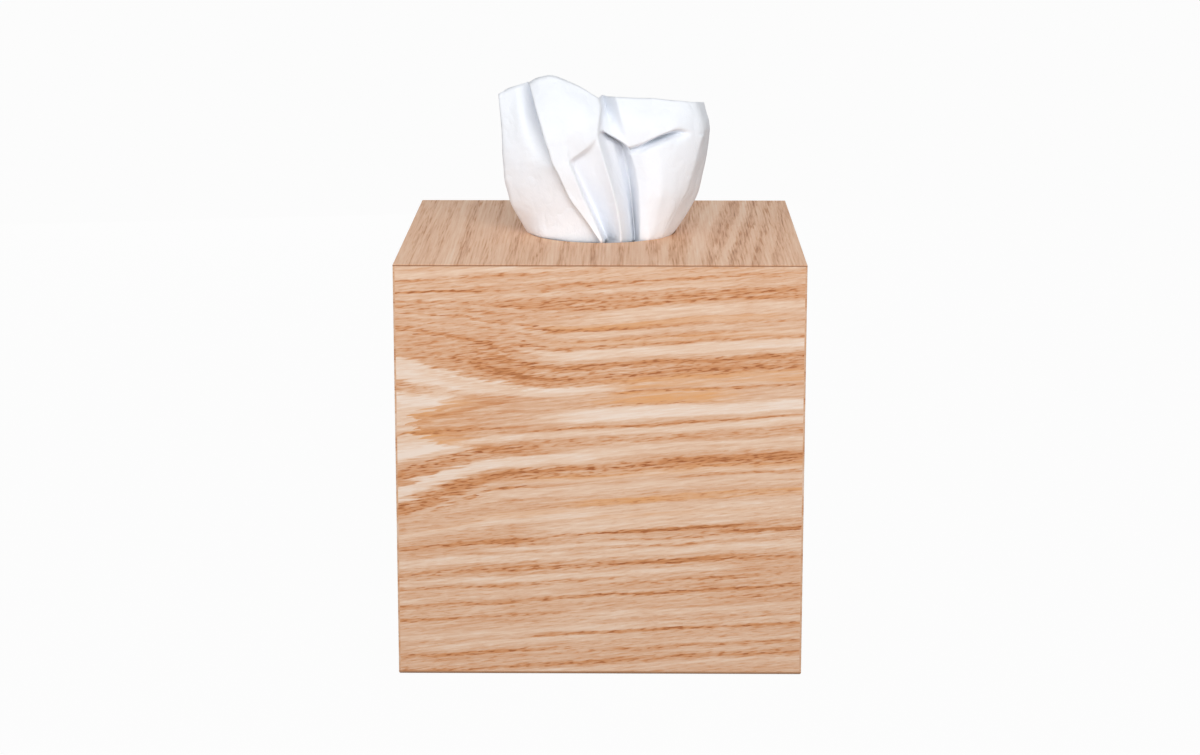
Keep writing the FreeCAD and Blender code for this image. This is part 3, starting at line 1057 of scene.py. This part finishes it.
FOLD_LINES = (
    FoldLine(
        "first_selvedge", (0, 0), rim=(3, 8, 0), flank=(3, 11, 11), fold=(2.5, 12, 22),
        shoulder=(2, 11, 31), hem=(1.5, 7, 38),
    ),
    FoldLine(
        "back_left_inner", (0, 0), rim=(-4, 10, 0), flank=(-5, 13, 11), fold=(-6, 14, 22),
        shoulder=(-6, 13, 31), hem=(-7, 8, 40),
    ),
    FoldLine(
        "left_furrow", (0.5, 0.5), rim=(-9, 6, 0), flank=(-11, 7, 11), fold=(-12, 7.5, 22),
        shoulder=(-12.5, 7, 32), hem=(-13, 5, 43),
    ),
    FoldLine(
        "back_left", (0.4, 0.4), rim=(-17, 14, 0), flank=(-21, 13, 11), fold=(-24, 13, 22),
        shoulder=(-25, 12, 33), hem=(-25, 8, 45),
    ),
    FoldLine(
        "left_shoulder", (0.2, 0.2), rim=(-23.8, 5, 0), flank=(-29, 7, 9), fold=(-31.5, 8.5, 21),
        shoulder=(-32, 9, 33), hem=(-32.5, 8, 45),
    ),
    FoldLine(
        "left_edge", (0.3, 0.3), rim=(-24.5, -4.5, 0), flank=(-31, -8.5, 10.5), fold=(-33.3, -9, 23),
        shoulder=(-33.8, -6.5, 35), hem=(-35, -1, 46.5),
    ),
    FoldLine(
        "left_ridge", (0.1, 0.1), rim=(-19, -14.5, 0.5), flank=(-25, -13, 11.5), fold=(-29.3, -11.5, 23.5),
        shoulder=(-31, -8, 36), hem=(-31.5, -0.5, 48.5),
    ),
    FoldLine(
        "left_face", (0, 0.2), rim=(-11, -20.5, 0), flank=(-17.5, -17.5, 12), fold=(-22.5, -15, 25),
        shoulder=(-26.5, -10.5, 38), hem=(-28.5, -1, 49.7),
    ),
    FoldLine(
        "left_valley", (1, 0.8), rim=(1.5, -22.5, 0), flank=(-8.5, -22, 14), fold=(-14.5, -20, 26),
        shoulder=(-18.5, -3, 40), hem=(-25, 2, 50.6),
    ),
    FoldLine(
        "pleat", (1, 1), rim=(0, -24, 0.5), flank=(-10, -23.5, 14), fold=(-16, -22.5, 26),
        shoulder=(-20.5, -18.5, 40), hem=(-24.5, -6, 51),
    ),
    FoldLine(
        "strip", (0.9, 0), rim=(0.6, -24, 0.5), flank=(-5, -24, 13.5), fold=(-11, -23.5, 27),
        shoulder=(-15.5, -19.5, 41), hem=(-22, -7, 52.6),
    ),
    FoldLine(
        "strip_valley", (0, 0), rim=(1.6, -13.5, -0.5), flank=(-4, -14.5, 13), fold=(-10, -22, 27.5),
        shoulder=(-11.5, -20.5, 42), hem=(-16.5, -8, 54), tuck=(3, 0),
    ),
    FoldLine(
        "facet", (0, 0), rim=(4.3, -18.5, -0.3), flank=(0.8, -18, 13), fold=(-4.5, -23, 31.5),
        shoulder=(-6, -20, 42.5), hem=(-7, -10.5, 50.3), tuck=(2.5, 0),
    ),
    FoldLine(
        "ridge", (1, 0.7), rim=(6.5, -24.5, 0), flank=(4.7, -23.5, 14.5), fold=(-1.3, -21.5, 35.5),
        shoulder=(0, -18, 42.5), hem=(-1, -13.5, 46.7),
    ),
    FoldLine(
        "behind_ridge", (0, 0), rim=(8, -20.5, 0), flank=(6.4, -19, 14), fold=(0.5, -17, 35),
        shoulder=(0.8, -11, 41.5), hem=(-0.4, -4, 46.4), tuck=(3, 6),
    ),
    FoldLine(
        "grey_fold", (0.9, 1), rim=(10.2, -15.5, -0.3), flank=(8.6, -13, 14), fold=(3.5, -17.5, 33.3),
        shoulder=(2.3, -7.5, 40.5), hem=(0, 2, 46), tuck=(5, 8),
    ),
    FoldLine(
        "deep_valley", (0, 0), rim=(11.3, -9.5, -2), flank=(10, -7, 13), fold=(7, -17.5, 31.3),
        shoulder=(4.6, -12, 40), hem=(2.4, -4, 46.3), tuck=(11, 10),
    ),
    FoldLine(
        "lobe_edge", (0.8, 0.6), rim=(12.7, -19.5, -0.2), flank=(12.6, -18.5, 14.5), fold=(9.7, -18, 29.8),
        shoulder=(6.8, -17, 39.5), hem=(4.8, -10.5, 46.9), tuck=(3, 5),
    ),
    FoldLine(
        "lobe_left", (0, 0), rim=(14.7, -19, 0), flank=(16, -20.5, 15), fold=(13.5, -18, 30.8),
        shoulder=(11.5, -17, 39), hem=(10.5, -11, 46.6), tuck=(0, 4),
    ),
    FoldLine(
        "lobe_middle", (0, 0), rim=(16.4, -18, 0.2), flank=(20, -20.5, 15), fold=(18.8, -18, 33),
        shoulder=(18, -15.5, 40), hem=(17.5, -9.5, 46.3), tuck=(0, 9),
    ),
    FoldLine(
        "lobe_right", (0, 0), rim=(18, -17, 0.3), flank=(23.5, -18.5, 14.5), fold=(24.5, -16, 35),
        shoulder=(24.5, -13.8, 41), hem=(25.5, -9.5, 45.5), tuck=(0, 6),
    ),
    FoldLine(
        "lobe_far", (0, 0), rim=(18.9, -16.5, 0.4), flank=(26.2, -16.4, 15.2), fold=(28.8, -14, 34.8),
        shoulder=(28.8, -12, 40.6), hem=(28.8, -8.2, 45),
    ),
    FoldLine(
        "right_crease", (0.95, 0.1), rim=(19.6, -16, 0.5), flank=(28.5, -14, 16), fold=(33.8, -11, 34),
        shoulder=(33.3, -9, 40), hem=(32, -6, 44.6),
    ),
    FoldLine(
        "right_edge", (0.3, 0.3), rim=(24, -9, 0.5), flank=(33, -2, 13), fold=(36.8, 1, 34),
        shoulder=(35.8, 3, 39), hem=(34.4, 4, 43.3),
    ),
    FoldLine(
        "right_shoulder", (0.2, 0.2), rim=(23.8, 5, 0), flank=(29.5, 7, 9), fold=(33.5, 8.5, 20),
        shoulder=(34, 9, 31), hem=(33, 8, 41),
    ),
    FoldLine(
        "back_right", (0.4, 0.4), rim=(17, 14, 0), flank=(22, 13, 11), fold=(25, 14, 22),
        shoulder=(26, 13, 32), hem=(25, 8.5, 41),
    ),
    FoldLine(
        "right_furrow", (0.5, 0.5), rim=(9, 6, 0), flank=(11, 7, 11), fold=(12, 8, 22),
        shoulder=(12.5, 7.5, 31), hem=(12.5, 5, 40),
    ),
    FoldLine(
        "back_right_inner", (0, 0), rim=(4, 11.5, 0), flank=(6, 14.5, 11), fold=(6, 16, 22),
        shoulder=(6, 15, 31), hem=(6, 9.5, 39),
    ),
    FoldLine(
        "last_selvedge", (0, 0), rim=(-4, 13, 0), flank=(-3, 16, 11), fold=(-3, 17, 22),
        shoulder=(-3.5, 16, 30), hem=(-4, 11, 37),
    ),
)


@dataclass
class PopUpTissue:
    """The tissue that stands in the opening: one open sheet, gathered in the film's slit.

    Attributes:
        flat: Size of the sheet before it is gathered, in metres; not used.
        levels: Where the rows above the rim lie on their fold lines, from the rim to the hem.
        throat: Heights of the rows below the rim, in millimetres, from the tail up.
        gathered: How far each of these rows is drawn in from the rim, up to one.
        neck: Half width and half depth of the gathered sheet, in millimetres.
        pleat_depth: Share of the neck that each second line is drawn in.
        pleat_crease: How sharp the pleats of the neck are, up to one.
        pleat_wander: How unevenly the pleats are drawn in, up to one.
        twist: How far the neck turns from the rim to the tail, in radians.
        tail_wander: How far up the tail's edge wanders, in millimetres.
        rim_radius: How far out the sheet lies on the rounded rim, in millimetres.
        rim_lift: How high it lies there above the top, in millimetres.
        rim_slack: How far inside the opening a line may stand and still lie on the rim, in millimetres.
        throat_radius: How far out it lies inside the opening, in millimetres.
        fold_row: The row above the rim that the cross fold follows.
        fold_crease: How sharp the cross fold is where it is tucked in, up to one.
        thickness: Thickness of the two plies, in metres.
        crinkle: How far handling has moved the paper, in metres.
        crinkle_cells: Sizes of the large and the small crinkles, in millimetres.
        crinkle_share: How strong the small ones are beside the large ones.
    """

    flat: tuple[float, float] = (0.205, 0.155)
    levels: tuple[float, ...] = (0.0, 0.5, 1.0, 1.5, 1.88, 2.0, 2.12, 2.6, 3.2, 4.0)
    throat: tuple[float, ...] = (-85.4, -60.0, -35.0, -13.2, -5.5, -1.2)
    gathered: tuple[float, ...] = (1.0, 1.0, 1.0, 1.0, 0.5, 0.05)
    neck: tuple[float, float] = (20.3, 6.9)
    pleat_depth: float = 0.62
    pleat_crease: float = 0.85
    pleat_wander: float = 0.3
    twist: float = 0.7
    tail_wander: float = 9.0
    rim_radius: float = 25.9
    rim_lift: float = 0.25
    rim_slack: float = 1.0
    throat_radius: float = 24.3
    fold_row: int = 5
    fold_crease: float = 0.7
    thickness: float = 0.00012
    crinkle: float = 0.0004
    crinkle_cells: tuple[float, float] = (8.0, 3.0)
    crinkle_share: float = 0.6

    def build(self) -> None:
        """Makes the sheet, and lets it stand for the plain solid."""
        mesh = self._sheet()
        self._crinkle(mesh)
        bmesh.ops.recalc_face_normals(mesh, faces=mesh.faces)
        piece = new_piece("tissue", mesh, TissuePaper().build())
        for face in piece.data.polygons:
            face.use_smooth = True
        smooth = piece.modifiers.new("smooth", "SUBSURF")
        smooth.levels = smooth.render_levels = 2
        plies = piece.modifiers.new("plies", "SOLIDIFY")
        plies.thickness = self.thickness
        plies.offset = 0.0
        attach(piece, "tissue")
        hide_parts("pop_up_tissue")
        log.info("built the tissue from %d fold lines", len(FOLD_LINES))

    def _sheet(self) -> bmesh.types.BMesh:
        """Lays a grid on the fold lines and creases it.

        Returns:
            The sheet.
        """
        columns, rows = len(FOLD_LINES), len(self.throat) + len(self.levels)
        mesh = bmesh.new()
        grid = bmesh.ops.create_grid(mesh, x_segments=columns - 1, y_segments=rows - 1, size=1.0)
        sharp = mesh.edges.layers.float.new("crease_edge")
        places = {}
        for vert in grid["verts"]:
            column = round((vert.co.x + 1) / 2 * (columns - 1))
            row = round((vert.co.y + 1) / 2 * (rows - 1))
            places[vert] = (column, row)
            vert.co = self._place(column, row) * MM
        for edge in mesh.edges:
            edge[sharp] = self._crease(places[edge.verts[0]], places[edge.verts[1]])
        bmesh.ops.subdivide_edges(mesh, edges=mesh.edges, cuts=1, use_grid_fill=True)
        return mesh

    def _crease(self, start: tuple[int, int], end: tuple[int, int]) -> float:
        """How sharp one edge of the sheet is.

        Args:
            start: Column and row of its first end.
            end: Column and row of its other end.

        Returns:
            Its crease, up to one.
        """
        line, other = FOLD_LINES[start[0]], FOLD_LINES[end[0]]
        height = min(start[1], end[1]) - len(self.throat)
        if line is other:
            return line.crease[height >= self.fold_row] if height >= -1 else self.pleat_crease
        tucked = any(line.tuck) and any(other.tuck)
        return self.fold_crease if tucked and abs(height - self.fold_row) <= 1 else 0.0

    def _crinkle(self, mesh: bmesh.types.BMesh) -> None:
        """Moves each vertex a little, as handled paper does.

        Args:
            mesh: The sheet.
        """
        for vert in mesh.verts:
            coarse, fine = (noise.noise_vector(vert.co / (size * MM)) for size in self.crinkle_cells)
            vert.co += (coarse + fine * self.crinkle_share) * self.crinkle

    def _place(self, column: int, row: int) -> Vector:
        """The place of one vertex of the sheet.

        Args:
            column: Number of its fold line.
            row: Number of its row, from the tail up.

        Returns:
            The place, in millimetres.
        """
        line = FOLD_LINES[column]
        above = row - len(self.throat)
        level = self.levels[max(above, 0)]
        point = line.at(level)
        if above == self.fold_row:
            point.y += line.tuck[1]
        elif 1.0 < level < 2.0:
            point.y += line.tuck[0] * (level - 1.0)
        out = math.hypot(point.x, point.y)
        if above < 0:
            point = self._gather(point * min(1.0, self.throat_radius / out), column, row)
        elif above == 0 and out > self.throat_radius - self.rim_slack:
            point = Vector((point.x * self.rim_radius / out, point.y * self.rim_radius / out, self.rim_lift))
        return point + Vector((0.0, 0.0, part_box("top_veneer")[1][2] / MM))

    def _gather(self, point: Vector, column: int, row: int) -> Vector:
        """Draws a vertex below the rim in towards the pleated neck.

        Args:
            point: Where its fold line leaves the opening, in millimetres.
            column: Number of its fold line.
            row: Number of its row, from the tail up.

        Returns:
            Its place, in millimetres up from the top.
        """
        uneven = abs(noise.noise(Vector((column * 1.3, row * 0.7, 0.5))))
        turn = math.tau * (0.25 + (column + 0.5 + uneven) / len(FOLD_LINES))
        turn += self.twist * self.throat[row] / self.throat[0]
        pleat = (1.0 - self.pleat_depth * (column % 2)) * (1.0 - self.pleat_wander * uneven)
        neck = Vector((self.neck[0] * math.cos(turn), self.neck[1] * math.sin(turn), 0.0)) * pleat
        place = point.lerp(neck, self.gathered[row])
        place.z = self.throat[row]
        if row == 0:
            place.z += self.tail_wander * uneven
        return place


@dataclass
class Refill:
    """The carton in the cover, with its film and the stack of folded tissues in it.

    Attributes:
        leaves: How many folded tissues the stack shows.
        leaf_share: How much of its step in the stack a leaf fills.
        fold_radius: Roundness of the folded edges, as a share of a leaf's step.
        unevenness: How far a leaf may lie out of line, in metres.
        sag: How far the leaves wave up and down, in metres.
        wave: Length of those waves, in metres.
        seed: Shifts the noise that places them.
    """

    leaves: int = 24
    leaf_share: float = 0.96
    fold_radius: float = 0.45
    unevenness: float = 0.0007
    sag: float = 0.0004
    wave: float = 0.03
    seed: float = 5.0

    def dress(self) -> None:
        """Dresses the carton and the film, and lays the stack."""
        dress("carton", CartonBoard().build())
        dress("slit_film", ClearFilm().build())
        self._stack()

    def _stack(self) -> None:
        """Lays the folded tissues on each other, in the place of the plain block."""
        low, high = (Vector(corner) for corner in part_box("tissue_stack"))
        size = high - low
        step = size.z / self.leaves
        spare = 4 * self.unevenness
        extent = Vector((size.x - spare, size.y - spare, step * self.leaf_share))
        mesh = bmesh.new()
        for leaf in range(self.leaves):
            place = (low + high) / 2
            place.z = low.z + step * (leaf + 0.5)
            shift = noise.noise_vector(Vector((leaf * 1.7, self.seed, 0.0))) * self.unevenness
            block = bmesh.ops.create_cube(mesh, size=1.0)
            bmesh.ops.scale(mesh, verts=block["verts"], vec=extent)
            bmesh.ops.translate(mesh, verts=block["verts"], vec=place + Vector((shift.x, shift.y, 0.0)))
        radius = step * self.fold_radius
        bmesh.ops.bevel(
            mesh, geom=mesh.edges, offset=radius, affect="EDGES", segments=2, profile=0.5, material=-1
        )
        long_edges = [edge for edge in mesh.edges if edge.calc_length() > size.x / 2]
        bmesh.ops.subdivide_edges(mesh, edges=long_edges, cuts=5, use_grid_fill=True)
        for vert in mesh.verts:
            height = noise.noise(Vector((vert.co.x / self.wave, vert.co.y / self.wave, self.seed)))
            vert.co.z += height * self.sag * (vert.co.z - low.z) / size.z
        bmesh.ops.recalc_face_normals(mesh, faces=mesh.faces)
        piece = new_piece("folded_tissues", mesh, TissuePaper("stacked_tissue").build())
        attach(piece, "refill")
        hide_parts("tissue_stack")
        log.info("laid the stack of %d folded tissues", self.leaves)


@dataclass(frozen=True)
class Lamp:
    """A square lamp that looks at the middle of the object.

    Attributes:
        name: The lamp's name.
        place: Where it hangs, in metres.
        power: Its power in watts.
        mirrored: Whether glossy surfaces show it.
        size: Length of its side, in metres.
        aim: The point that it looks at, in metres.
    """

    name: str
    place: Place
    power: float
    mirrored: bool = False
    size: float = 0.5
    aim: Place = (0.0, 0.0, 0.1)

    def build(self) -> None:
        """Hangs the lamp."""
        data = bpy.data.lights.new(self.name, "AREA")
        data.size = self.size
        data.energy = self.power
        lamp = bpy.data.objects.new(self.name, data)
        lamp.location = self.place
        lamp.visible_glossy = self.mirrored
        way = Vector(self.aim) - Vector(self.place)
        lamp.rotation_euler = way.to_track_quat("-Z", "Y").to_euler()
        bpy.context.scene.collection.objects.link(lamp)


@dataclass
class Studio:
    """Camera, lamps, world and floor.

    Attributes:
        camera_place: The camera's place in metres.
        pitch: How far it looks down, in degrees.
        yaw: How far it turns to the left, in degrees.
        lens: Its focal length in millimetres.
        sensor: Width of its sensor in millimetres.
        near: Distance from which it sees things, in metres.
        lamps: A key lamp in front, a weaker one behind and a fill on the left.
        ambient: How bright the world is as a light, where one is white.
        floor_size: Half the side of the floor, in metres.
        floor_drop: How far it lies under the object, in metres.
        floor_grey: Colour of the floor as a reflector.
        floor_glow: How far the floor is white to the eye, up to one; the rest shows the shadow.
    """

    camera_place: Place = (0.0091, -0.9447, 0.2953)
    pitch: float = 12.543
    yaw: float = 0.591
    lens: float = 84.21
    sensor: float = 36.0
    near: float = 0.01
    lamps: tuple[Lamp, ...] = (
        Lamp("key", (0.16, -0.74, 0.50), 4.1, mirrored=True),
        Lamp("back", (-0.15, 0.85, 0.20), 1.6),
        Lamp("fill", (-0.62, -0.62, 0.34), 1.6),
    )
    ambient: float = 0.47
    floor_size: float = 3.0
    floor_drop: float = 0.0002
    floor_grey: Colour = shade(140, 140, 140)
    floor_glow: float = 0.97

    def build(self) -> None:
        """Sets up the whole studio."""
        self._camera()
        self._world()
        for lamp in self.lamps:
            lamp.build()
        self._floor()

    def _camera(self) -> None:
        """Makes the scene's camera."""
        data = bpy.data.cameras.new("camera")
        data.sensor_width = self.sensor
        data.lens = self.lens
        data.clip_start = self.near
        camera = bpy.data.objects.new("camera", data)
        camera.location = self.camera_place
        camera.rotation_euler = (math.radians(90 - self.pitch), 0.0, math.radians(self.yaw))
        bpy.context.scene.collection.objects.link(camera)
        bpy.context.scene.camera = camera

    def _world(self) -> None:
        """Makes a world that is white to the eye and softer as a light."""
        world = bpy.data.worlds.new("studio")
        graph = Graph(world)
        path = graph.node("ShaderNodeLightPath")
        eye, glossy, through = (
            Value(graph, path.outputs[f"Is {ray} Ray"]) for ray in ("Camera", "Glossy", "Transmission")
        )
        seen = eye.at_least(glossy.at_least(through))
        levels = {"Value": seen, "To Min": self.ambient, "To Max": 1.0}
        strength = graph.value("ShaderNodeMapRange", inputs=levels)
        glow = graph.value("ShaderNodeBackground", inputs={"Color": WHITE, "Strength": strength})
        graph.node("ShaderNodeOutputWorld", inputs={"Surface": glow})
        bpy.context.scene.world = world
        bpy.context.scene.view_settings.view_transform = "Standard"

    def _floor(self) -> None:
        """Lays a white floor that still takes the object's shadow."""
        graph = Graph.of_material("studio_floor")
        eye = graph.value("ShaderNodeLightPath", output="Is Camera Ray")
        matt = graph.value("ShaderNodeBsdfDiffuse", inputs={"Color": self.floor_grey})
        glow = graph.value("ShaderNodeEmission", inputs={"Color": WHITE, "Strength": 1.0})
        mixed = graph.value("ShaderNodeMixShader", inputs={0: eye * self.floor_glow, 1: matt, 2: glow})
        graph.node("ShaderNodeOutputMaterial", inputs={"Surface": mixed})
        mesh = bmesh.new()
        bmesh.ops.create_grid(mesh, x_segments=1, y_segments=1, size=self.floor_size)
        bmesh.ops.translate(mesh, verts=mesh.verts, vec=Vector((0.0, 0.0, -self.floor_drop)))
        new_piece("studio_floor", mesh, graph.owner)


def main() -> None:
    """Builds and dresses everything in order."""
    logging.basicConfig(level=logging.INFO, format="%(message)s")
    # Without a seed, vector noise differs each time Blender starts.
    noise.seed_set(NOISE_SEED)
    Studio().build()
    Cover().dress()
    Refill().dress()
    PopUpTissue().build()


if __name__ == "__main__":
    main()
